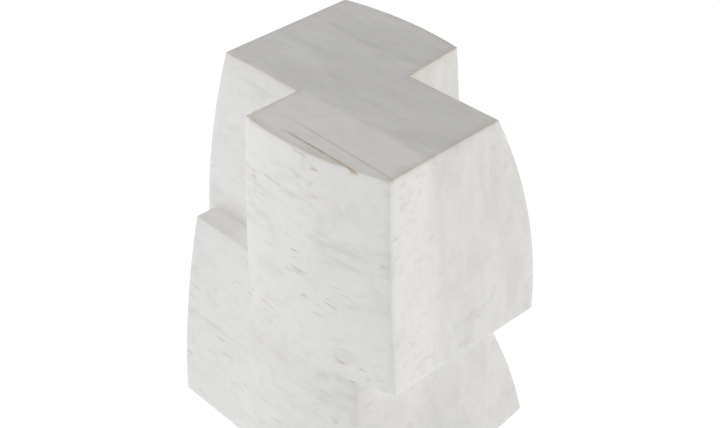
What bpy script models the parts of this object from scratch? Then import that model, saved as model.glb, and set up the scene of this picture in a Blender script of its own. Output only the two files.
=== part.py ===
"""Carved marble bookend: three stone blocks, doweled together, on felt pads.

World frame: +Z up, the floor at z = 0, and the origin under the middle of the bounding box.
The flat face at -X bears on the books.  The blocks are laid out from a datum corner, the
upright line at the top where the tall block's -Y face meets the upper block's -X face.
A depth is a distance down from the top of the stone.
"""

import math

import bmesh
import bpy
from mathutils import Matrix, Vector

MM = 0.001

# Overall stone and its felt
STONE_HEIGHT = 176.5 * MM
PAD_STANDOFF = 1.5 * MM
STONE_TOP = PAD_STANDOFF + STONE_HEIGHT
GAP = 0.3 * MM
ARRIS = 0.5 * MM
ARRIS_ANGLE = math.radians(28)

# Tall block: full height, flat towards the books
TALL_BACK_X = -47.8 * MM
TALL_SIDE_X = 25.3 * MM
TALL_SIDE_TOE = 0.079
TALL_BACK_CORNER_Y = 75.1 * MM
TALL_CROWN_X = -5.5 * MM
TALL_CROWN_RADIUS = 168 * MM
TALL_BELLY_DEPTH = 93.6 * MM
TALL_BELLY_RADIUS = 249 * MM

# Upper block: laps round the tall block's corner and overhangs the foot
UPPER_HEIGHT = 107 * MM
UPPER_SIDE_X = 76.5 * MM
UPPER_CORNER_Y = -29 * MM
UPPER_BACK_Y = 44 * MM
UPPER_CROWN_X = 22.1 * MM
UPPER_CROWN_RADIUS = 148 * MM
UPPER_BELLY_DEPTH = 90 * MM
UPPER_BELLY_RADIUS = 190 * MM
UPPER_LEAN_DEPTH = 175.7 * MM
UPPER_LEAN_RADIUS = 1487 * MM
UPPER_LEFT_SHARE = 0.65
UPPER_TWIST = 3 * MM

# The crowned faces of both high blocks also swell a little down to mid height
SWELL_DEPTH = 89.5 * MM
SWELL_RADIUS = 586 * MM

# Foot block: a ledge beside the tall block and a seat under the upper block
LEDGE_DEPTH = 74.9 * MM
FOOT_LEFT_X = -43.1 * MM
FOOT_LEDGE_Y = -28.1 * MM
FOOT_FRONT_OFFSET = 1.5 * MM
FOOT_FRONT_DEPTH = 125 * MM
FOOT_FRONT_RADIUS = 461 * MM
FOOT_SIDE_X = 78.2 * MM
FOOT_SIDE_CROWN_Y = 40.7 * MM
FOOT_SIDE_CROWN_RADIUS = 227.5 * MM
FOOT_SIDE_DEPTH = 123.8 * MM
FOOT_SIDE_RADIUS = 571 * MM
FOOT_BACK_Y = 43.8 * MM
FOOT_BACK_DEPTH = 150 * MM
FOOT_BACK_RADIUS = 341.5 * MM

# Steel dowels set in the joints, from the datum corner: centre x, y and depth
DOWEL_RADIUS = 3 * MM
DOWEL_LENGTH = 36 * MM
DOWEL_CHAMFER = 0.5 * MM
UPPER_DOWELS = ((27.5 * MM, 8 * MM, 44 * MM), (27 * MM, 32 * MM, 44 * MM))
FOOT_DOWELS = ((28.5 * MM, 2 * MM, 145 * MM), (26.5 * MM, 34 * MM, 145 * MM))
SEAT_DOWELS = ((47 * MM, -14 * MM, UPPER_HEIGHT), (60 * MM, 28 * MM, UPPER_HEIGHT))

# Felt pads, from the datum corner: centre x and y
PAD_RADIUS = 7 * MM
PAD_THICKNESS = PAD_STANDOFF - GAP
PAD_CHAMFER = 0.25 * MM
PADS = {
    "felt_pad_left_front": (-33 * MM, -31 * MM),
    "felt_pad_right_front": (62 * MM, -26 * MM),
    "felt_pad_right_back": (74 * MM, 52 * MM),
    "felt_pad_left_back": (-36 * MM, 70 * MM),
}

# Mesh fineness
COLUMNS = 10
RANKS = 6
ROWS = 12
ROUND_SIDES = 32
SETTLE_STEPS = 6


def bow(depth, widest, radius):
    """Outward swell, at a depth, of a face that is upright at the widest depth."""
    return depth * (2 * widest - depth) / (2 * radius)


def swell(depth):
    """The slight swell that the crowned faces share, upright below mid height."""
    return bow(min(depth, SWELL_DEPTH), SWELL_DEPTH, SWELL_RADIUS)


def upper_lean(depth):
    return bow(depth, UPPER_LEAN_DEPTH, UPPER_LEAN_RADIUS)


def tall_left(y, depth):
    return TALL_BACK_X


def tall_right(y, depth):
    return TALL_SIDE_X - TALL_SIDE_TOE * (y - UPPER_BACK_Y)


def tall_front(x, depth):
    return -bow(min(depth, TALL_BELLY_DEPTH), TALL_BELLY_DEPTH, TALL_BELLY_RADIUS)


def tall_back(x, depth):
    rise = (TALL_BACK_X - TALL_CROWN_X) ** 2 - (x - TALL_CROWN_X) ** 2
    return TALL_BACK_CORNER_Y + rise / (2 * TALL_CROWN_RADIUS) + swell(depth)


def upper_left(y, depth):
    return UPPER_LEFT_SHARE * upper_lean(depth)


def upper_right(y, depth):
    across = (y - UPPER_CORNER_Y) / (UPPER_BACK_Y - UPPER_CORNER_Y)
    return UPPER_SIDE_X + upper_lean(depth) + UPPER_TWIST * across * depth / UPPER_HEIGHT


def upper_front(x, depth):
    rise = UPPER_CROWN_X ** 2 - (x - UPPER_CROWN_X) ** 2
    return UPPER_CORNER_Y - rise / (2 * UPPER_CROWN_RADIUS) - swell(depth)


def upper_back(x, depth):
    return UPPER_BACK_Y + bow(depth, UPPER_BELLY_DEPTH, UPPER_BELLY_RADIUS)


def foot_left(y, depth):
    return FOOT_LEFT_X


def foot_right(y, depth):
    crown = (y - FOOT_SIDE_CROWN_Y) ** 2 / (2 * FOOT_SIDE_CROWN_RADIUS)
    return FOOT_SIDE_X - crown + bow(depth - UPPER_HEIGHT, FOOT_SIDE_DEPTH, FOOT_SIDE_RADIUS)


def foot_front(x, depth):
    """Nearly straight beside the ledge, then flush with the upper block's crowned face."""
    flare = bow(depth - LEDGE_DEPTH, FOOT_FRONT_DEPTH, FOOT_FRONT_RADIUS)
    along = min(1, (x - FOOT_LEFT_X) / (UPPER_CROWN_X - FOOT_LEFT_X))
    turn = max(0, x - UPPER_CROWN_X) ** 2 / (2 * UPPER_CROWN_RADIUS)
    return FOOT_LEDGE_Y - flare - FOOT_FRONT_OFFSET * along + turn


def foot_back(x, depth):
    return FOOT_BACK_Y + bow(depth - UPPER_HEIGHT, FOOT_BACK_DEPTH, FOOT_BACK_RADIUS)


TALL_SIDES = (tall_left, tall_right, tall_front, tall_back)
UPPER_SIDES = (upper_left, upper_right, upper_front, upper_back)
FOOT_SIDES = (foot_left, foot_right, foot_front, foot_back)


def middle_of_plan():
    """Datum position of the middle of the bounding box, where the origin goes."""
    x_high = foot_right(FOOT_SIDE_CROWN_Y, STONE_HEIGHT)
    y_low = foot_front(UPPER_CROWN_X, STONE_HEIGHT)
    y_high = tall_back(TALL_CROWN_X, STONE_HEIGHT)
    return (TALL_BACK_X + x_high) / 2, (y_low + y_high) / 2


MIDDLE_X, MIDDLE_Y = middle_of_plan()


def world(x, y, depth):
    return Vector((x - MIDDLE_X, y - MIDDLE_Y, STONE_TOP - depth))


def mix(low, high, part):
    return low + (high - low) * part


def grown(sides, margin):
    """The same four sides, each moved outwards."""
    left, right, front, back = sides
    return (
        lambda y, depth: left(y, depth) - margin,
        lambda y, depth: right(y, depth) + margin,
        lambda x, depth: front(x, depth) - margin,
        lambda x, depth: back(x, depth) + margin,
    )


def settle(sides, across, along, depth):
    """The plan point at two fractions of a block, whose sides depend on each other."""
    left, right, front, back = sides
    x = 0
    y = 0
    for _ in range(SETTLE_STEPS):
        x = mix(left(y, depth), right(y, depth), across)
        y = mix(front(x, depth), back(x, depth), along)
    return x, y


def sliced_cube(counts):
    """A unit cube cut into a grid, so that its faces can take a curve."""
    mesh = bmesh.new()
    bmesh.ops.create_cube(mesh, size=1)
    for axis, count in enumerate(counts):
        normal = Vector((0, 0, 0))
        normal[axis] = 1
        for cut in range(1, count):
            parts = mesh.verts[:] + mesh.edges[:] + mesh.faces[:]
            place = normal * (cut / count - 0.5)
            bmesh.ops.bisect_plane(mesh, geom=parts, plane_co=place, plane_no=normal)
    return mesh


def add_object(name, mesh, collection):
    data = bpy.data.meshes.new(name)
    mesh.to_mesh(data)
    mesh.free()
    item = bpy.data.objects.new(name, data)
    collection.objects.link(item)
    return item


def add_block(name, collection, sides, depth_low, depth_high):
    """A block between two depths, shaped by its four side functions."""
    mesh = sliced_cube((COLUMNS, RANKS, ROWS))
    for vert in mesh.verts:
        across, along, down = vert.co.x + 0.5, vert.co.y + 0.5, 0.5 - vert.co.z
        depth = mix(depth_low, depth_high, down)
        x, y = settle(sides, across, along, depth)
        vert.co = world(x, y, depth)
    return add_object(name, mesh, collection)


def add_rod(name, collection, place, axis, radius, length, chamfer=0):
    """A cylinder along X or Z, centred on a datum position."""
    mesh = bmesh.new()
    bmesh.ops.create_cone(
        mesh, cap_ends=True, segments=ROUND_SIDES, radius1=radius, radius2=radius, depth=length
    )
    if chamfer:
        rims = [edge for edge in mesh.edges if abs(edge.verts[0].co.z - edge.verts[1].co.z) < chamfer]
        bmesh.ops.bevel(mesh, geom=rims, offset=chamfer, segments=1, affect="EDGES")
    turn = Matrix.Rotation(math.radians(90), 4, "Y") if axis == "X" else Matrix()
    rod = add_object(name, mesh, collection)
    rod.data.transform(turn)
    rod.location = world(*place)
    rod.data.shade_smooth()
    rod.data.set_sharp_from_angle(angle=ARRIS_ANGLE)
    return rod


def hide_cutter(item):
    item.hide_render = True
    item.display_type = "WIRE"
    return item


def cut(item, cutter):
    boolean = item.modifiers.new("cut_" + cutter.name, "BOOLEAN")
    boolean.operation = "DIFFERENCE"
    boolean.solver = "EXACT"
    boolean.object = cutter


def ease_edges(item):
    """The small worn arris along every sharp edge."""
    bevel = item.modifiers.new("arris", "BEVEL")
    bevel.width = ARRIS
    bevel.segments = 2
    bevel.limit_method = "ANGLE"
    bevel.angle_limit = ARRIS_ANGLE


def make_material(name, color, roughness, metallic=0):
    material = bpy.data.materials.new(name)
    material.use_nodes = True
    shader = material.node_tree.nodes["Principled BSDF"]
    shader.inputs["Base Color"].default_value = (*color, 1)
    shader.inputs["Roughness"].default_value = roughness
    shader.inputs["Metallic"].default_value = metallic
    material.diffuse_color = (*color, 1)
    return material


def add_stones(parts, cutters, marble):
    tall = add_block("tall_block", parts, TALL_SIDES, 0, STONE_HEIGHT)
    upper = add_block("upper_block", parts, UPPER_SIDES, 0, UPPER_HEIGHT)
    foot = add_block("foot_block", parts, FOOT_SIDES, LEDGE_DEPTH, STONE_HEIGHT)
    for stone in (tall, upper, foot):
        stone.data.materials.append(marble)
    clearance = 10 * MM
    around_tall = add_block(
        "tall_clearance", cutters, grown(TALL_SIDES, GAP), -clearance, STONE_HEIGHT + clearance
    )
    seat_sides = (
        lambda y, depth: upper_left(y, depth) - GAP,
        lambda y, depth: FOOT_SIDE_X + clearance,
        lambda x, depth: FOOT_LEDGE_Y - 2 * clearance,
        lambda x, depth: FOOT_BACK_Y + clearance,
    )
    seat = add_block(
        "seat_clearance", cutters, seat_sides, LEDGE_DEPTH - clearance, UPPER_HEIGHT + GAP
    )
    cut(upper, hide_cutter(around_tall))
    cut(foot, around_tall)
    cut(foot, hide_cutter(seat))
    for stone in (tall, upper, foot):
        ease_edges(stone)
    return tall, upper, foot


def add_dowels(parts, cutters, steel, name, places, axis, stones):
    """Dowels, and the blind bores that hold them in the two stones that they join."""
    for number, place in enumerate(places, start=1):
        title = f"{name}_{number}"
        dowel = add_rod(title, parts, place, axis, DOWEL_RADIUS, DOWEL_LENGTH, DOWEL_CHAMFER)
        dowel.data.materials.append(steel)
        bore = add_rod(
            title + "_bore", cutters, place, axis, DOWEL_RADIUS + GAP, DOWEL_LENGTH + 2 * GAP
        )
        hide_cutter(bore)
        for stone in stones:
            cut(stone, bore)


def add_pads(parts, felt):
    for name, (x, y) in PADS.items():
        depth = STONE_TOP - PAD_THICKNESS / 2
        pad = add_rod(name, parts, (x, y, depth), "Z", PAD_RADIUS, PAD_THICKNESS, PAD_CHAMFER)
        pad.data.materials.append(felt)


def new_collection(name):
    collection = bpy.data.collections.new(name)
    bpy.context.scene.collection.children.link(collection)
    return collection


def build():
    for item in list(bpy.data.objects):
        bpy.data.objects.remove(item)
    parts = new_collection("bookend")
    cutters = new_collection("cutters")
    marble = make_material("honed_marble", (0.78, 0.77, 0.75), 0.45)
    steel = make_material("steel", (0.60, 0.60, 0.61), 0.3, 1)
    felt = make_material("felt", (0.55, 0.53, 0.50), 0.95)
    tall, upper, foot = add_stones(parts, cutters, marble)
    add_dowels(parts, cutters, steel, "upper_dowel", UPPER_DOWELS, "X", (tall, upper))
    add_dowels(parts, cutters, steel, "foot_dowel", FOOT_DOWELS, "X", (tall, foot))
    add_dowels(parts, cutters, steel, "seat_dowel", SEAT_DOWELS, "Z", (upper, foot))
    add_pads(parts, felt)


build()
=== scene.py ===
"""Looks for the marble bookend: honed white marble, felt pads, a pale floor and soft studio light."""

import math

import bmesh
import bpy
from mathutils import Euler, Matrix, Vector, noise
from mathutils.bvhtree import BVHTree
from mathutils.kdtree import KDTree


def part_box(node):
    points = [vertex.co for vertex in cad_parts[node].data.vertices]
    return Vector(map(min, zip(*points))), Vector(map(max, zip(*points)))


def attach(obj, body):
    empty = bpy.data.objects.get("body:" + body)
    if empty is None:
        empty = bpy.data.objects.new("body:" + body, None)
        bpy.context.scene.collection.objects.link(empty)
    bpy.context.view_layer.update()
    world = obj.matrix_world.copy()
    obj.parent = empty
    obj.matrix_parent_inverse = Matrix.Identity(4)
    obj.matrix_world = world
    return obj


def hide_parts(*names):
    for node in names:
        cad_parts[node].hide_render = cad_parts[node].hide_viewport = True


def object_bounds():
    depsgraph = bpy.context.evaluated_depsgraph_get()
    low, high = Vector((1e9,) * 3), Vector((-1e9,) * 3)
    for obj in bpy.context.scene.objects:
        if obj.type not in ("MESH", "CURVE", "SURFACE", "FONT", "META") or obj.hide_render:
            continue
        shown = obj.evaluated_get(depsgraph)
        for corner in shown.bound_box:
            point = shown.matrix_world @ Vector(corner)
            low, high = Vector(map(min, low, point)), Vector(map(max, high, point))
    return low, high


MM = 0.001

# The stones, laid out as in the CAD from the datum corner, the upright line at the top where
# the tall block's -Y face meets the upper block's -X face.  A depth is down from the top.
TALL_BACK_X = -47.8 * MM
TALL_SIDE_X = 25.3 * MM
TALL_SIDE_TOE = 0.079
TALL_BACK_CORNER_Y = 75.1 * MM
TALL_CROWN_X = -5.5 * MM
TALL_CROWN_RADIUS = 168 * MM
TALL_BELLY_DEPTH = 93.6 * MM
TALL_BELLY_RADIUS = 249 * MM

UPPER_HEIGHT = 107 * MM
UPPER_SIDE_X = 76.5 * MM
UPPER_CORNER_Y = -29 * MM
UPPER_BACK_Y = 44 * MM
UPPER_CROWN_X = 22.1 * MM
UPPER_CROWN_RADIUS = 148 * MM
UPPER_BELLY_DEPTH = 90 * MM
UPPER_BELLY_RADIUS = 190 * MM
UPPER_LEAN_DEPTH = 175.7 * MM
UPPER_LEAN_RADIUS = 1487 * MM
UPPER_LEFT_SHARE = 0.65
UPPER_TWIST = 3 * MM

SWELL_DEPTH = 89.5 * MM
SWELL_RADIUS = 586 * MM

LEDGE_DEPTH = 74.9 * MM
FOOT_LEFT_X = -43.1 * MM
FOOT_LEDGE_Y = -28.1 * MM
FOOT_FRONT_DEPTH = 125 * MM
FOOT_FRONT_RADIUS = 461 * MM
FOOT_SIDE_X = 78.2 * MM
FOOT_SIDE_CROWN_Y = 40.7 * MM
FOOT_SIDE_CROWN_RADIUS = 227.5 * MM
FOOT_SIDE_DEPTH = 123.8 * MM
FOOT_SIDE_RADIUS = 571 * MM
FOOT_BACK_Y = 43.8 * MM
FOOT_BACK_DEPTH = 150 * MM
FOOT_BACK_RADIUS = 341.5 * MM

# Hand finish: hairline joints, and a small worn arris that wanders a little
HAIRLINE = 0.02 * MM
ARRIS = 0.45 * MM
ARRIS_WANDER = 0.05 * MM
ARRIS_WANDER_SIZE = 9 * MM
WEAR_REACH = 5 * MM
ARRIS_ANGLE = math.radians(28)
SMOOTH_ANGLE = math.radians(24)

# Building the stones: mesh cells, rounds of settle(), how far the cutters reach past a stone, the
# gap round a dowel, and how the names of the dowels in each stone begin
CELL = 3.2 * MM
SETTLE_STEPS = 6
CUTTER_REACH = 10 * MM
BORE_GAP = 0.3 * MM
BORE_SIDES = 32
DOWELS_HELD = {
    "tall_block": ("upper", "foot"),
    "upper_block": ("upper", "seat"),
    "foot_block": ("foot", "seat"),
}

# Felt pads
FELT_RINGS = 9
FELT_SIDES = 72
FELT_RIM_STEPS = 6
FELT_EDGE = 0.5 * MM
FELT_FUZZ = 0.09 * MM
FELT_FUZZ_SIZE = 0.9 * MM

# Camera: angles in degrees, lens in mm, and its aim from the middle of the object's box
CAMERA_AZIMUTH = 45.4
CAMERA_ELEVATION = 38.7
CAMERA_ROLL = 0.14
CAMERA_DISTANCE = 592.6 * MM
CAMERA_AIM = Vector((2.5, -5.1, -6.6)) * MM
CAMERA_LENS = 62.4
CAMERA_SENSOR = 36
CAMERA_SHIFT_Y = 58 / 720

# Studio: name, azimuth, elevation, energy and colour of each soft box.  The sky fades from the
# horizon's strength to the zenith's between two elevations.  The floor lies a hair below the felt,
# so that their faces don't coincide.  Plain lengths are in metres.
SOFTBOX_DISTANCE = 1.6
SOFTBOX_SIZE = 1.2
SOFTBOXES = (
    ("back_softbox", 140, 15, 10.2, (1, 0.95, 0.85)),
    ("left_softbox", -52, 50, 11.1, (0.99, 0.99, 1)),
)
HORIZON_STRENGTH = 0.58
HORIZON_ELEVATION = 14
ZENITH_STRENGTH = 0.20
ZENITH_ELEVATION = 34
FLOOR_HALF = 15
FLOOR_DROP = 0.05 * MM
FLOOR_BASE = 0.1
FLOOR_ROUGHNESS = 0.9
FLOOR_GLOW = 1
FLOOR_COLOR = (0.98, 0.99, 1)


def middle(box):
    return (Vector(box[0]) + Vector(box[1])) / 2


# Stone shapes

def bow(depth, widest, radius):
    """Outward swell, at a depth, of a face that is upright at the widest depth."""
    return depth * (2 * widest - depth) / (2 * radius)


def swell(depth):
    return bow(min(depth, SWELL_DEPTH), SWELL_DEPTH, SWELL_RADIUS)


def upper_lean(depth):
    return bow(depth, UPPER_LEAN_DEPTH, UPPER_LEAN_RADIUS)


def tall_left(y, depth):
    return TALL_BACK_X


def tall_right(y, depth):
    return TALL_SIDE_X - TALL_SIDE_TOE * (y - UPPER_BACK_Y)


def tall_front(x, depth):
    return -bow(min(depth, TALL_BELLY_DEPTH), TALL_BELLY_DEPTH, TALL_BELLY_RADIUS)


def tall_back(x, depth):
    rise = (TALL_BACK_X - TALL_CROWN_X) ** 2 - (x - TALL_CROWN_X) ** 2
    return TALL_BACK_CORNER_Y + rise / (2 * TALL_CROWN_RADIUS) + swell(depth)


def upper_left(y, depth):
    return UPPER_LEFT_SHARE * upper_lean(depth)


def upper_right(y, depth):
    across = (y - UPPER_CORNER_Y) / (UPPER_BACK_Y - UPPER_CORNER_Y)
    return UPPER_SIDE_X + upper_lean(depth) + UPPER_TWIST * across * depth / UPPER_HEIGHT


def upper_front(x, depth):
    rise = UPPER_CROWN_X ** 2 - (x - UPPER_CROWN_X) ** 2
    return UPPER_CORNER_Y - rise / (2 * UPPER_CROWN_RADIUS) - swell(depth)


def upper_back(x, depth):
    return UPPER_BACK_Y + bow(depth, UPPER_BELLY_DEPTH, UPPER_BELLY_RADIUS)


def foot_left(y, depth):
    return FOOT_LEFT_X


def foot_right(y, depth):
    crown = (y - FOOT_SIDE_CROWN_Y) ** 2 / (2 * FOOT_SIDE_CROWN_RADIUS)
    return FOOT_SIDE_X - crown + bow(depth - UPPER_HEIGHT, FOOT_SIDE_DEPTH, FOOT_SIDE_RADIUS)


def foot_flare(depth):
    return bow(depth - LEDGE_DEPTH, FOOT_FRONT_DEPTH, FOOT_FRONT_RADIUS)


def foot_front(x, depth):
    """Straight beside the ledge, then flush with the upper block's crowned face."""
    flush = upper_front(max(0, x), UPPER_HEIGHT) + foot_flare(UPPER_HEIGHT)
    beside = min(0, x) / FOOT_LEFT_X
    return mix(flush, FOOT_LEDGE_Y, beside) - foot_flare(depth)


def foot_back(x, depth):
    return FOOT_BACK_Y + bow(depth - UPPER_HEIGHT, FOOT_BACK_DEPTH, FOOT_BACK_RADIUS)


TALL_SIDES = (tall_left, tall_right, tall_front, tall_back)
UPPER_SIDES = (upper_left, upper_right, upper_front, upper_back)
FOOT_SIDES = (foot_left, foot_right, foot_front, foot_back)


def find_datum():
    """The datum corner, from the tall block's box."""
    low, high = [Vector(corner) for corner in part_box("tall_block")]
    height = high.z - low.z
    return Vector((low.x - TALL_BACK_X, high.y - tall_back(TALL_CROWN_X, height), high.z))


def mix(low, high, part):
    return low + (high - low) * part


def grown(sides, margin):
    """Side functions moved outward by a margin."""
    left, right, front, back = sides
    return (
        lambda y, depth: left(y, depth) - margin,
        lambda y, depth: right(y, depth) + margin,
        lambda x, depth: front(x, depth) - margin,
        lambda x, depth: back(x, depth) + margin,
    )


def settle(sides, across, along, depth):
    """The plan point at two fractions of a block, whose sides depend on each other."""
    left, right, front, back = sides
    x = 0
    y = 0
    for _ in range(SETTLE_STEPS):
        x = mix(left(y, depth), right(y, depth), across)
        y = mix(front(x, depth), back(x, depth), along)
    return x, y


def add_object(name, mesh):
    data = bpy.data.meshes.new(name)
    mesh.to_mesh(data)
    mesh.free()
    item = bpy.data.objects.new(name, data)
    bpy.context.scene.collection.objects.link(item)
    return item


def add_block(name, datum, sides, depth_low, depth_high):
    """A block between two depths, shaped by its four side functions, in cells of about CELL."""
    left, right, front, back = sides
    spans = (
        right(0, depth_high) - left(0, depth_high),
        back(0, depth_high) - front(0, depth_high),
        depth_high - depth_low,
    )
    mesh = bmesh.new()
    bmesh.ops.create_cube(mesh, size=1)
    for axis, span in enumerate(spans):
        count = round(span / CELL)
        normal = Vector((0, 0, 0))
        normal[axis] = 1
        for cut in range(1, count):
            parts = mesh.verts[:] + mesh.edges[:] + mesh.faces[:]
            place = normal * (cut / count - 0.5)
            bmesh.ops.bisect_plane(mesh, geom=parts, plane_co=place, plane_no=normal)
    for vert in mesh.verts:
        depth = mix(depth_low, depth_high, 0.5 - vert.co.z)
        x, y = settle(sides, vert.co.x + 0.5, vert.co.y + 0.5, depth)
        vert.co = datum + Vector((x, y, -depth))
    return add_object(name, mesh)


def carve(item, cutters):
    """Cuts the cutters away from the item, and leaves the result as its own mesh."""
    for cutter in cutters:
        boolean = item.modifiers.new(cutter.name, "BOOLEAN")
        boolean.operation = "DIFFERENCE"
        boolean.solver = "EXACT"
        boolean.object = cutter
    bpy.context.view_layer.update()
    graph = bpy.context.evaluated_depsgraph_get()
    mesh = bpy.data.meshes.new_from_object(item.evaluated_get(graph))
    item.modifiers.clear()
    item.data = mesh


def drop(items):
    for item in items:
        bpy.data.objects.remove(item)


def mesh_of(item):
    mesh = bmesh.new()
    mesh.from_mesh(item.data)
    return mesh


def open_edges(mesh, others):
    """The sharp edges of a stone's mesh that no neighbouring stone meets."""
    trees = []
    for other in others:
        near = mesh_of(other)
        trees.append(BVHTree.FromBMesh(near))
        near.free()
    found = []
    for edge in mesh.edges:
        place = (edge.verts[0].co + edge.verts[1].co) / 2
        sharp = edge.calc_face_angle(0) > ARRIS_ANGLE
        if sharp and all(tree.find_nearest(place, ARRIS / 3)[0] is None for tree in trees):
            found.append(edge)
    return found


def wear_edges(item, others):
    """Rounds the open edges a little unevenly, and marks the stone near them as worn."""
    mesh = mesh_of(item)
    bmesh.ops.remove_doubles(mesh, verts=mesh.verts, dist=2 * HAIRLINE)
    edges = open_edges(mesh, others)
    places = [vert.co.copy() for edge in edges for vert in edge.verts]
    worn = KDTree(len(places))
    for number, place in enumerate(places):
        worn.insert(place, number)
    worn.balance()
    made = bmesh.ops.bevel(
        mesh, geom=edges, offset=ARRIS, offset_type="OFFSET", segments=2, profile=0.5,
        affect="EDGES", clamp_overlap=False,
    )
    mesh.normal_update()
    for vert in {vert for face in made["faces"] for vert in face.verts}:
        share = 0.5 + 0.5 * noise.noise(vert.co / ARRIS_WANDER_SIZE)
        vert.co -= vert.normal * share * ARRIS_WANDER
    wear = mesh.verts.layers.float.new("wear")
    for vert in mesh.verts:
        vert[wear] = max(0, 1 - worn.find(vert.co)[2] / WEAR_REACH)
    mesh.to_mesh(item.data)
    mesh.free()


def add_bore(name, box, margin):
    """A round cutter about a dowel, along the longest side of the dowel's box."""
    low, high = Vector(box[0]), Vector(box[1])
    size = high - low
    length = max(size) + 2 * margin
    radius = min(size) / 2 + margin
    mesh = bmesh.new()
    bmesh.ops.create_cone(
        mesh, cap_ends=True, segments=BORE_SIDES, radius1=radius, radius2=radius, depth=length,
    )
    if size.x == max(size):
        bmesh.ops.rotate(mesh, verts=mesh.verts, matrix=Matrix.Rotation(math.radians(90), 3, "Y"))
    bmesh.ops.translate(mesh, verts=mesh.verts, vec=(low + high) / 2)
    return add_object(name, mesh)


def smooth(item):
    """Smooth shading, with sharp edges kept."""
    item.data.shade_smooth()
    item.data.set_sharp_from_angle(angle=SMOOTH_ANGLE)


def add_stones(frame, datum, marble):
    """The three stones with hairline joints, where the CAD leaves wider gaps."""
    low = Vector(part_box("tall_block")[0])
    height = datum.z - low.z
    tall = add_block("tall_stone", datum, TALL_SIDES, 0, height)
    upper = add_block("upper_stone", datum, UPPER_SIDES, 0, UPPER_HEIGHT)
    foot = add_block("foot_stone", datum, FOOT_SIDES, LEDGE_DEPTH, height)
    around_tall = add_block(
        "around_tall", datum, grown(TALL_SIDES, HAIRLINE), -CUTTER_REACH, height + CUTTER_REACH,
    )
    seat_sides = (
        lambda y, depth: upper_left(y, depth) - HAIRLINE,
        lambda y, depth: FOOT_SIDE_X + CUTTER_REACH,
        lambda x, depth: FOOT_LEDGE_Y - 2 * CUTTER_REACH,
        lambda x, depth: FOOT_BACK_Y + CUTTER_REACH,
    )
    seat = add_block("seat", datum, seat_sides, LEDGE_DEPTH - CUTTER_REACH, UPPER_HEIGHT + HAIRLINE)
    carve(upper, [around_tall])
    carve(foot, [around_tall, seat])
    stones = {"tall_block": tall, "upper_block": upper, "foot_block": foot}
    for stone in stones.values():
        wear_edges(stone, [other for other in stones.values() if other != stone])
    dowels = [name for name in frame["nodes"] if "dowel" in name]
    bores = {name: add_bore(name + "_bore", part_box(name), BORE_GAP) for name in dowels}
    for node, stone in stones.items():
        carve(stone, [bore for name, bore in bores.items() if name.startswith(DOWELS_HELD[node])])
        stone.data.materials.clear()
        stone.data.materials.append(marble)
        smooth(stone)
        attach(stone, "root")
        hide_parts(node)
    drop([around_tall, seat, *bores.values()])


def felt_outline(radius, half):
    """Half a pad's section: from near the middle of the top, round the rim, to the underside."""
    top = [(radius * ring / FELT_RINGS, half) for ring in range(1, FELT_RINGS)]
    rim = []
    for step in range(FELT_RIM_STEPS + 1):
        turn = math.radians(90 - 180 * step / FELT_RIM_STEPS)
        rim.append((radius - FELT_EDGE + FELT_EDGE * math.cos(turn), half * math.sin(turn)))
    underside = [(across, -height) for across, height in reversed(top)]
    return top + rim + underside


def add_felt_disc(name, box):
    """A round disc in a pad's box, with a soft and slightly fuzzy rim."""
    low, high = Vector(box[0]), Vector(box[1])
    centre = (low + high) / 2
    radius = (high.x - low.x) / 2
    mesh = bmesh.new()
    rows = []
    for across, height in felt_outline(radius, (high.z - low.z) / 2):
        row = []
        for side in range(FELT_SIDES):
            turn = math.tau * side / FELT_SIDES
            place = Vector((math.cos(turn) * across, math.sin(turn) * across, height))
            fuzz = 1 - FELT_FUZZ * (1 + noise.noise((centre + place) / FELT_FUZZ_SIZE)) / radius
            row.append(mesh.verts.new(centre + Vector((place.x * fuzz, place.y * fuzz, place.z))))
        rows.append(row)
    for inner, outer in zip(rows, rows[1:]):
        for side in range(FELT_SIDES):
            after = (side + 1) % FELT_SIDES
            mesh.faces.new((inner[side], outer[side], outer[after], inner[after]))
    mesh.faces.new(rows[0])
    mesh.faces.new(rows[-1][::-1])
    bmesh.ops.recalc_face_normals(mesh, faces=mesh.faces)
    return add_object(name, mesh)


def add_pads(frame, felt):
    """The felt pads, each in the place of its CAD disc."""
    for name in frame["nodes"]:
        if name.startswith("felt_pad"):
            pad = add_felt_disc(name.replace("felt_pad", "pad"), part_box(name))
            pad.data.materials.append(felt)
            pad.data.shade_smooth()
            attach(pad, "root")
            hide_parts(name)


# Materials

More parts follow.
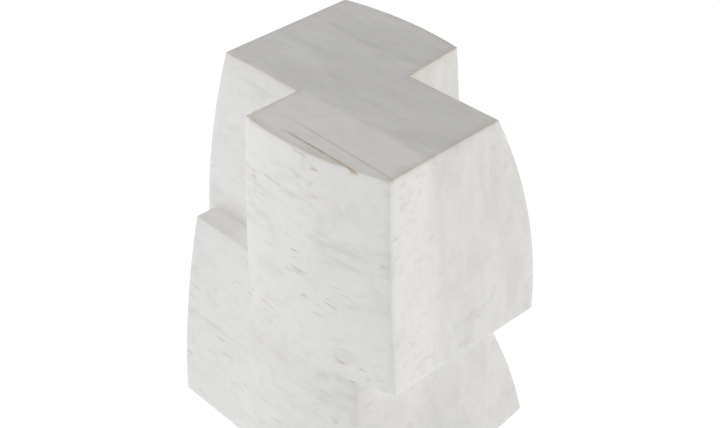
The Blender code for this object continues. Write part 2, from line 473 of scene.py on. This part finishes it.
class Nodes:
    """Short calls for building one material's node tree."""

    def __init__(self, name):
        self.material = bpy.data.materials.new(name)
        self.material.use_nodes = True
        self.tree = self.material.node_tree
        self.shader = self.tree.nodes["Principled BSDF"]
        self.point = self.add("ShaderNodeTexCoord").outputs["Object"]

    def add(self, kind, **settings):
        node = self.tree.nodes.new(kind)
        for key, value in settings.items():
            setattr(node, key, value)
        return node

    def feed(self, socket, value):
        """Links another node's socket, or sets a plain value."""
        if isinstance(value, bpy.types.NodeSocket):
            self.tree.links.new(value, socket)
        else:
            socket.default_value = value

    def turned(self, turn):
        """The object's own coordinates, turned by three angles."""
        node = self.add("ShaderNodeMapping", vector_type="POINT")
        self.feed(node.inputs["Vector"], self.point)
        node.inputs["Rotation"].default_value = turn
        return node.outputs["Vector"]

    def noise(self, vector, size, detail=3, roughness=0.5, distortion=0):
        """Noise whose features measure about the given millimetres along X, Y and Z."""
        scaled = self.add("ShaderNodeVectorMath", operation="DIVIDE")
        self.feed(scaled.inputs[0], vector)
        scaled.inputs[1].default_value = Vector(size) * MM
        node = self.add("ShaderNodeTexNoise")
        self.feed(node.inputs["Vector"], scaled.outputs["Vector"])
        node.inputs["Scale"].default_value = 1
        node.inputs["Detail"].default_value = detail
        node.inputs["Roughness"].default_value = roughness
        node.inputs["Distortion"].default_value = distortion
        return node.outputs["Fac"]

    def math(self, operation, first, second=0, third=0):
        node = self.add("ShaderNodeMath", operation=operation)
        for socket, value in zip(node.inputs, (first, second, third)):
            self.feed(socket, value)
        return node.outputs["Value"]

    def times(self, first, *others):
        for other in others:
            first = self.math("MULTIPLY", first, other)
        return first

    def range(self, value, low, high, start=0, end=1):
        """Smoothly maps a value from low..high to start..end, clamped."""
        node = self.add("ShaderNodeMapRange", interpolation_type="SMOOTHSTEP")
        names = ("Value", "From Min", "From Max", "To Min", "To Max")
        for name, item in zip(names, (value, low, high, start, end)):
            self.feed(node.inputs[name], item)
        return node.outputs["Result"]

    def blend(self, factor, first, second):
        """Mixes two colours, each another node's socket or plain linear RGB."""
        node = self.add("ShaderNodeMix", data_type="RGBA", clamp_factor=True)
        self.feed(node.inputs["Factor"], factor)
        for socket, value in zip((node.inputs[6], node.inputs[7]), (first, second)):
            self.feed(socket, value if isinstance(value, bpy.types.NodeSocket) else (*value, 1))
        return node.outputs[2]

    def bump(self, height, distance, strength=1, normal=None):
        node = self.add("ShaderNodeBump")
        node.inputs["Strength"].default_value = strength
        node.inputs["Distance"].default_value = distance
        self.feed(node.inputs["Height"], height)
        if normal is not None:
            self.feed(node.inputs["Normal"], normal)
        return node.outputs["Normal"]

    def edge_on(self):
        """Fades what lies flat in the X-Z layers where a face cuts the layers edge on."""
        split = self.add("ShaderNodeSeparateXYZ")
        self.feed(split.inputs["Vector"], self.add("ShaderNodeNewGeometry").outputs["Normal"])
        return self.range(self.math("ABSOLUTE", split.outputs["X"]), 0.4, 0.9, 1, 0.35)

    def along(self, start, direction):
        """Distance from a start point along a direction."""
        offset = self.add("ShaderNodeVectorMath", operation="SUBTRACT")
        self.feed(offset.inputs[0], self.point)
        offset.inputs[1].default_value = start
        dot = self.add("ShaderNodeVectorMath", operation="DOT_PRODUCT")
        self.feed(dot.inputs[0], offset.outputs["Vector"])
        dot.inputs[1].default_value = direction
        return dot.outputs["Value"]

    def spread(self, centre, size):
        """Distance from a centre, as a share of a size along each axis."""
        offset = self.add("ShaderNodeVectorMath", operation="SUBTRACT")
        self.feed(offset.inputs[0], self.point)
        offset.inputs[1].default_value = centre
        share = self.add("ShaderNodeVectorMath", operation="DIVIDE")
        self.feed(share.inputs[0], offset.outputs["Vector"])
        share.inputs[1].default_value = size
        length = self.add("ShaderNodeVectorMath", operation="LENGTH")
        self.feed(length.inputs[0], share.outputs["Vector"])
        return length.outputs["Value"]

    def vein(self, start, end, width, wobble):
        """A thin upright sheet between two plan points, which fades at both ends."""
        run = end - start
        length = run.length
        run.normalize()
        across = self.math("ADD", self.along(start, run.cross(Vector((0, 0, 1)))), wobble)
        sheet = self.range(self.math("ABSOLUTE", across), 0.3 * width, width, 1, 0)
        place = self.along(start, run)
        return self.times(
            sheet,
            self.range(place, -0.1 * length, 0.25 * length),
            self.range(place, 0.97 * length, 1.03 * length, 1, 0),
        )


# The marble's layers stand nearly parallel to the X-Z plane.  The bright front layer ends at a
# plan Y from the datum corner, and the flecks grow from faint to full between two distances in
# front of that corner.
GRAIN_TURN = (0, math.radians(-1), math.radians(-2))
LAYER_Y = 2 * MM
FLECKS_FAINT = 14 * MM
FLECKS_FULL = 24 * MM

# Features of the top, from the datum corner: the plan start, plan end and strength of each rust
# hairline, and a stain
RUST_VEINS = (
    (Vector((19, -25, 0)) * MM, Vector((64, -25.5, 0)) * MM, 0.95),
    (Vector((18, -17, 0)) * MM, Vector((78, -19, 0)) * MM, 0.45),
)
VEIN_WIDTH = 0.8 * MM
VEIN_WOBBLE = 1.6 * MM
STAIN = Vector((58, 6, 0)) * MM
STAIN_SPREAD = Vector((19, 10, 9)) * MM

# Marble colours, in linear RGB
PALE = (0.805, 0.80, 0.79)
DULL = (0.735, 0.73, 0.718)
BRIGHT = (0.90, 0.888, 0.865)
BUFF = (0.76, 0.70, 0.65)
CLOUD_GREY = (0.68, 0.672, 0.645)
WISP_GREY = (0.56, 0.558, 0.56)
MOTTLE_GREY = (0.60, 0.585, 0.55)
CRYSTAL_GREY = (0.62, 0.62, 0.62)
FLECK_BROWN = (0.50, 0.455, 0.42)
FLECK_RED = (0.59, 0.45, 0.37)
RUST = (0.56, 0.45, 0.33)
STAIN_BROWN = (0.56, 0.49, 0.42)
TAN = (0.62, 0.50, 0.37)


class Marble(Nodes):
    """The marble's node tree, with the patterns that several of its features share."""

    def __init__(self, datum):
        super().__init__("honed_marble")
        self.datum = datum
        self.grain = self.turned(GRAIN_TURN)
        self.depth = self.along(datum, Vector((0, 0, -1)))
        self.warmth = self.noise(self.grain, (22, 9, 14), 3)
        self.mottles = self.noise(self.grain, (5, 2.2, 4), 4, 0.6)
        self.crystals = self.noise(self.point, (1.1, 1.1, 1.1), 3, 0.6)

    def ground(self):
        """Pale and dull bands, and a bright front layer whose edge softens with depth."""
        bands = self.noise(self.grain, (52, 12, 32), 4, 0.5, 0.6)
        color = self.blend(self.range(bands, 0.34, 0.68), PALE, DULL)
        forward = self.along(self.datum + Vector((0, LAYER_Y, 0)), Vector((0, -1, 0)))
        wavy = self.math("ADD", forward, self.times(self.math("SUBTRACT", bands, 0.5), 10 * MM))
        softness = self.range(self.depth, 0, 25 * MM, 2 * MM, 8 * MM)
        front_layer = self.range(wavy, self.times(softness, -1), softness)
        return self.blend(self.times(front_layer, 0.72), color, BRIGHT)

    def haze(self, color):
        """Buff patches, soft clouds, grey wisps and fine mottles."""
        color = self.blend(self.range(self.warmth, 0.5, 0.75, 0, 0.16), color, BUFF)
        clouds = self.noise(self.grain, (16, 9, 12), 5, 0.6, 0.4)
        color = self.blend(self.range(clouds, 0.48, 0.74, 0, 0.30), color, CLOUD_GREY)
        patches = self.noise(self.grain, (55, 20, 34), 2)
        wisps = self.noise(self.grain, (30, 7, 4.2), 4, 0.55, 0.25)
        wisp = self.times(self.range(wisps, 0.50, 0.72), self.range(patches, 0.40, 0.62, 0.06, 0.34))
        color = self.blend(wisp, color, WISP_GREY)
        return self.blend(self.range(self.mottles, 0.5, 0.75, 0, 0.20), color, MOTTLE_GREY)

    def flecks(self, color):
        """Brown and reddish flecks in clusters, mostly in the front of the stone and below its top."""
        flecks = self.noise(self.grain, (13, 2, 2.4), 2, 0.4)
        clusters = self.noise(self.grain, (34, 14, 24), 2)
        forward = self.along(self.datum, Vector((0, -1, 0)))
        fleck = self.times(
            self.range(flecks, 0.59, 0.77),
            self.range(clusters, 0.49, 0.65, 0, 0.95),
            self.edge_on(),
            self.range(self.depth, 0, 3 * MM, 0.25, 1),
            self.range(forward, FLECKS_FAINT, FLECKS_FULL, 0.25, 1),
        )
        fleck_color = self.blend(self.range(self.warmth, 0.32, 0.52), FLECK_BROWN, FLECK_RED)
        return self.blend(fleck, color, fleck_color)

    def veins(self, color):
        """Rust hairlines that show in the top and fade out just below it."""
        near_top = self.range(self.depth, 0.5 * MM, 2.5 * MM, 1, 0)
        sway = self.math("SUBTRACT", self.noise(self.grain, (26, 12, 12), 3), 0.5)
        wobble = self.times(sway, VEIN_WOBBLE)
        for start, end, strength in RUST_VEINS:
            vein = self.vein(self.datum + start, self.datum + end, VEIN_WIDTH, wobble)
            broken = self.range(self.mottles, 0.3, 0.6, 0.5 * strength, strength)
            color = self.blend(self.times(vein, near_top, broken), color, RUST)
        return color

    def stain(self, color):
        """A ragged brown stain in the top."""
        within = self.range(self.spread(self.datum + STAIN, STAIN_SPREAD), 0, 1, 1, 0)
        stain = self.math("SUBTRACT", within, self.range(self.warmth, 0.35, 0.65, 0.6, 0))
        broken = self.range(self.mottles, 0.3, 0.6, 0.16, 0.42)
        return self.blend(self.times(self.range(stain, 0, 0.9), broken), color, STAIN_BROWN)

    def wear(self, color):
        """Tan dirt in the worn arrises, in patches, and mostly at the top."""
        wear = self.add("ShaderNodeAttribute", attribute_name="wear").outputs["Fac"]
        patches = self.range(self.noise(self.point, (16, 16, 16), 3), 0.36, 0.60, 0.25, 1)
        near_top = self.range(self.depth, 0.3 * MM, 1.5 * MM, 0.36, 0.04)
        return self.blend(self.times(self.range(wear, 0.1, 1), patches, near_top), color, TAN)


def marble_material(datum):
    """White marble with upright layers, grey wisps, brown flecks and a few rust hairlines."""
    n = Marble(datum)
    color = n.ground()
    color = n.haze(color)
    color = n.flecks(color)
    color = n.veins(color)
    color = n.stain(color)
    color = n.blend(n.range(n.crystals, 0.4, 0.7, 0, 0.05), color, CRYSTAL_GREY)
    color = n.wear(color)
    n.feed(n.shader.inputs["Base Color"], color)
    n.feed(n.shader.inputs["Roughness"], n.range(n.mottles, 0.3, 0.7, 0.44, 0.56))
    honed = n.bump(n.noise(n.point, (16, 16, 16), 2), 0.3 * MM, 0.3)
    n.feed(n.shader.inputs["Normal"], n.bump(n.crystals, 0.04 * MM, 0.5, honed))
    return n.material


def felt_material():
    n = Nodes("wool_felt")
    fibres = n.noise(n.point, (1.1, 1.1, 1.1), 6, 0.7, 1.5)
    tangle = n.noise(n.point, (0.25, 0.25, 0.25), 3, 0.6, 0.8)
    color = n.blend(fibres, (0.40, 0.38, 0.34), (0.66, 0.63, 0.58))
    color = n.blend(n.range(tangle, 0.4, 0.7, 0, 0.4), color, (0.76, 0.74, 0.70))
    n.feed(n.shader.inputs["Base Color"], color)
    n.shader.inputs["Roughness"].default_value = 0.95
    n.shader.inputs["Sheen Weight"].default_value = 0.3
    n.feed(n.shader.inputs["Normal"], n.bump(tangle, 0.12 * MM, 0.8, n.bump(fibres, 0.3 * MM)))
    return n.material


def steel_material():
    n = Nodes("turned_steel")
    marks = n.noise(n.point, (2.5, 0.25, 0.25), 3)
    n.feed(n.shader.inputs["Base Color"], n.blend(marks, (0.50, 0.50, 0.51), (0.64, 0.64, 0.65)))
    n.feed(n.shader.inputs["Roughness"], n.range(marks, 0.3, 0.7, 0.25, 0.42))
    n.shader.inputs["Metallic"].default_value = 1
    n.feed(n.shader.inputs["Normal"], n.bump(marks, 0.02 * MM, 0.6))
    return n.material


def dress_dowels(frame, steel):
    """Steel for the dowels, which keep their CAD shape."""
    for name, item in frame["nodes"].items():
        if "dowel" in name:
            item.data.materials.clear()
            item.data.materials.append(steel)
            smooth(item)


# Studio

def add_floor(box):
    """A plain pale floor that glows enough to look white, just below the object's feet."""
    mesh = bpy.data.meshes.new("floor")
    half = FLOOR_HALF
    corners = [(-half, -half, 0), (half, -half, 0), (half, half, 0), (-half, half, 0)]
    mesh.from_pydata(corners, [], [(0, 1, 2, 3)])
    floor = bpy.data.objects.new("floor", mesh)
    bpy.context.scene.collection.objects.link(floor)
    floor.location.z = box[0][2] - FLOOR_DROP
    material = bpy.data.materials.new("pale_floor")
    material.use_nodes = True
    shader = material.node_tree.nodes["Principled BSDF"]
    shader.inputs["Base Color"].default_value = (FLOOR_BASE, FLOOR_BASE, FLOOR_BASE, 1)
    shader.inputs["Roughness"].default_value = FLOOR_ROUGHNESS
    shader.inputs["Emission Color"].default_value = (*FLOOR_COLOR, 1)
    shader.inputs["Emission Strength"].default_value = FLOOR_GLOW
    mesh.materials.append(material)


def direction(azimuth, elevation):
    """From the object towards a camera or light at these angles."""
    a, e = math.radians(azimuth), math.radians(elevation)
    return Vector((math.sin(a) * math.cos(e), -math.cos(a) * math.cos(e), math.sin(e)))


def add_sky():
    """A white sky, brighter near the horizon than above."""
    world = bpy.data.worlds.new("studio")
    bpy.context.scene.world = world
    world.use_nodes = True
    nodes, links = world.node_tree.nodes, world.node_tree.links
    view = nodes.new("ShaderNodeTexCoord")
    split = nodes.new("ShaderNodeSeparateXYZ")
    fade = nodes.new("ShaderNodeMapRange")
    fade.interpolation_type = "SMOOTHSTEP"
    fade.inputs["From Min"].default_value = math.sin(math.radians(HORIZON_ELEVATION))
    fade.inputs["From Max"].default_value = math.sin(math.radians(ZENITH_ELEVATION))
    fade.inputs["To Min"].default_value = HORIZON_STRENGTH
    fade.inputs["To Max"].default_value = ZENITH_STRENGTH
    links.new(view.outputs["Generated"], split.inputs["Vector"])
    links.new(split.outputs["Z"], fade.inputs["Value"])
    links.new(fade.outputs["Result"], nodes["Background"].inputs["Strength"])
    nodes["Background"].inputs["Color"].default_value = (1, 1, 1, 1)


def add_softboxes(aim):
    """Square area lights that face the object, out of the camera's sight."""
    for name, azimuth, elevation, energy, color in SOFTBOXES:
        light = bpy.data.lights.new(name, "AREA")
        light.shape = "SQUARE"
        light.size = SOFTBOX_SIZE
        light.energy = energy
        light.color = color
        item = bpy.data.objects.new(name, light)
        bpy.context.scene.collection.objects.link(item)
        back = direction(azimuth, elevation)
        item.location = aim + back * SOFTBOX_DISTANCE
        item.visible_camera = False
        item.rotation_euler = back.to_track_quat("Z", "Y").to_euler()


def add_camera(box):
    """The camera at the photograph's angle."""
    data = bpy.data.cameras.new("camera")
    data.lens = CAMERA_LENS
    data.sensor_width = CAMERA_SENSOR
    data.shift_y = CAMERA_SHIFT_Y
    camera = bpy.data.objects.new("camera", data)
    bpy.context.scene.collection.objects.link(camera)
    back = direction(CAMERA_AZIMUTH, CAMERA_ELEVATION)
    camera.location = middle(box) + CAMERA_AIM + back * CAMERA_DISTANCE
    look = Euler((math.radians(90 - CAMERA_ELEVATION), 0, math.radians(CAMERA_AZIMUTH))).to_matrix()
    roll = Euler((0, 0, math.radians(CAMERA_ROLL))).to_matrix()
    camera.rotation_euler = (look @ roll).to_euler()
    bpy.context.scene.camera = camera


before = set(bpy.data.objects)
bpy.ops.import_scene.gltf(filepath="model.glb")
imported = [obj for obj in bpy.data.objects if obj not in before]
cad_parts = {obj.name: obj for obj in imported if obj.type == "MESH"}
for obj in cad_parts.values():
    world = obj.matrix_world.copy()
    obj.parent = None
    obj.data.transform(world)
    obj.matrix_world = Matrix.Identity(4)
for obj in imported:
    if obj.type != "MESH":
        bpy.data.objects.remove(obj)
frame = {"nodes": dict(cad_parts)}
cad_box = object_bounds()
bpy.context.scene.view_settings.view_transform = "Standard"
add_camera(cad_box)
add_sky()
add_softboxes(middle(cad_box))
add_floor(cad_box)
datum = find_datum()
add_stones(frame, datum, marble_material(datum))
add_pads(frame, felt_material())
dress_dowels(frame, steel_material())
